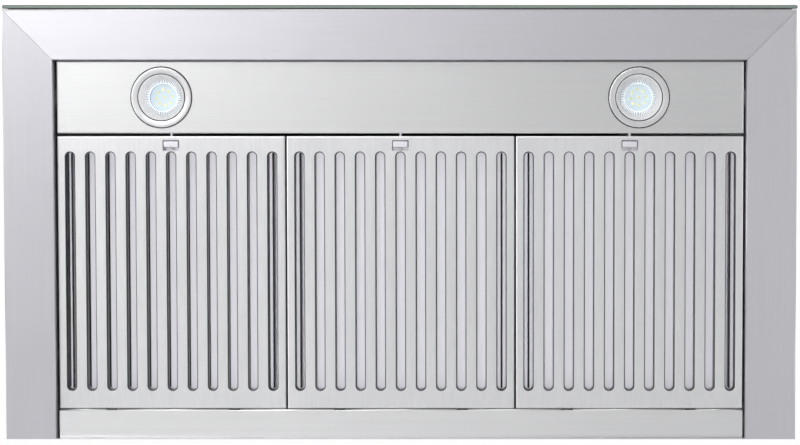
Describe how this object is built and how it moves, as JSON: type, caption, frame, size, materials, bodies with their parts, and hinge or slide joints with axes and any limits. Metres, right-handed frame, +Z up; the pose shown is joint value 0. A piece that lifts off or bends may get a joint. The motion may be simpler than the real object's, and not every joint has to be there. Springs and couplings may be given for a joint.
{
  "type": "canopy range hood",
  "caption": "Wall-mounted pyramid canopy range hood with slotted baffle filters, recessed lamps, glass fascia, internal blower, duct collar with damper and telescoping flue cover.",
  "frame": {"origin": "under the middle of the rim, on the plane of its lip", "axes": "+X to the right seen from the front, -Y towards the cook, +Y into the wall, +Z up"},
  "size_m": [0.9, 0.494, 0.751],
  "materials": {
    "body_steel": "fine brushed stainless steel",
    "panel_steel": "fine brushed stainless steel",
    "filter_steel": "satin stainless steel",
    "baffle_steel": "bright stainless steel",
    "latch_steel": "bright plated steel",
    "spring_steel": "bright drawn steel",
    "zinc_sheet": "galvanised sheet",
    "fascia_glass": "tempered glass with polished edges",
    "lamp_trim": "satin metal",
    "lamp_lens": "ribbed rim and clear centre",
    "lamp_board": "white circuit board",
    "heat_sink": "cast and anodised",
    "circuit_board": "green solder mask",
    "black_plastic": "moulded, satin",
    "grey_plastic": "moulded, satin",
    "motor_paint": "black paint",
    "screw_steel": "zinc plated"
  },
  "bodies": {
    "hood": {"front_panel": "body_steel", "left_side_panel": "body_steel", "right_side_panel": "body_steel", "canopy_shell": "body_steel", "back_panel": "body_steel", "top_plate": "zinc_sheet", "glass_fascia": "fascia_glass", "fascia_tape": "black_plastic", "touch_tray": "black_plastic", "touch_board": "circuit_board", "light_panel": "panel_steel", "back_strip": "panel_steel", "lamp_driver": "grey_plastic", "lamp_wiring": "black_plastic", "left_lamp_bezel": "lamp_trim", "left_lamp_lens": "lamp_lens", "left_lamp_board": "lamp_board", "left_lamp_sink": "heat_sink", "left_lamp_clips": "spring_steel", "right_lamp_bezel": "lamp_trim", "right_lamp_lens": "lamp_lens", "right_lamp_board": "lamp_board", "right_lamp_sink": "heat_sink", "right_lamp_clips": "spring_steel", "blower_scroll": "zinc_sheet", "blower_inlet_plate": "zinc_sheet", "blower_motor_plate": "zinc_sheet", "blower_motor": "motor_paint", "capacitor": "grey_plastic", "blower_wiring": "black_plastic", "control_box": "grey_plastic", "control_box_lid": "grey_plastic", "control_board": "circuit_board", "cable_gland": "black_plastic", "outlet_collar": "zinc_sheet", "damper_pin": "spring_steel", "flue_cover_lower": "body_steel", "top_plate_screws": "screw_steel", "flue_screws": "screw_steel"},
    "left_filter": {"left_filter_face": "filter_steel", "left_filter_back": "baffle_steel", "left_latch_guide": "latch_steel", "left_latch_spring": "spring_steel"},
    "centre_filter": {"centre_filter_face": "filter_steel", "centre_filter_back": "baffle_steel", "centre_latch_guide": "latch_steel", "centre_latch_spring": "spring_steel"},
    "right_filter": {"right_filter_face": "filter_steel", "right_filter_back": "baffle_steel", "right_latch_guide": "latch_steel", "right_latch_spring": "spring_steel"},
    "left_latch_slide": {"left_latch": "latch_steel"},
    "centre_latch_slide": {"centre_latch": "latch_steel"},
    "right_latch_slide": {"right_latch": "latch_steel"},
    "impeller_rotor": {"impeller": "grey_plastic", "motor_shaft": "spring_steel"},
    "left_damper": {"left_damper_flap": "zinc_sheet"},
    "right_damper": {"right_damper_flap": "zinc_sheet"},
    "flue_upper": {"flue_cover_upper": "body_steel", "flue_bracket": "zinc_sheet"}
  },
  "joints": [
    {"name": "left_filter_hinge", "type": "hinge", "parent": "hood", "child": "left_filter", "pos_m": [-0.25993, 0.213, 0.006], "axis": [1, 0, 0], "range_deg": [0, 80]},
    {"name": "left_latch_travel", "type": "slide", "parent": "left_filter", "child": "left_latch_slide", "axis": [0, 1, 0], "range_m": [0, 0.004], "stiffness_N_per_m": 300, "springref_m": -0.004, "deforming": ["left_latch_spring"]},
    {"name": "centre_filter_hinge", "type": "hinge", "parent": "hood", "child": "centre_filter", "pos_m": [0, 0.213, 0.006], "axis": [1, 0, 0], "range_deg": [0, 80]},
    {"name": "centre_latch_travel", "type": "slide", "parent": "centre_filter", "child": "centre_latch_slide", "axis": [0, 1, 0], "range_m": [0, 0.004], "stiffness_N_per_m": 300, "springref_m": -0.004, "deforming": ["centre_latch_spring"]},
    {"name": "right_filter_hinge", "type": "hinge", "parent": "hood", "child": "right_filter", "pos_m": [0.25993, 0.213, 0.006], "axis": [1, 0, 0], "range_deg": [0, 80]},
    {"name": "right_latch_travel", "type": "slide", "parent": "right_filter", "child": "right_latch_slide", "axis": [0, 1, 0], "range_m": [0, 0.004], "stiffness_N_per_m": 300, "springref_m": -0.004, "deforming": ["right_latch_spring"]},
    {"name": "impeller_spin", "type": "hinge", "parent": "hood", "child": "impeller_rotor", "pos_m": [0, 0.05157, 0.158], "axis": [1, 0, 0], "continuous": true},
    {"name": "left_damper_hinge", "type": "hinge", "parent": "hood", "child": "left_damper", "pos_m": [0, 0.1145, 0.291], "axis": [0, 1, 0], "range_deg": [0, 80]},
    {"name": "right_damper_hinge", "type": "hinge", "parent": "hood", "child": "right_damper", "pos_m": [0, 0.1145, 0.291], "axis": [0, -1, 0], "range_deg": [0, 80]},
    {"name": "flue_extension", "type": "slide", "parent": "hood", "child": "flue_upper", "axis": [0, 0, 1], "range_m": [0, 0.25]}
  ]
}
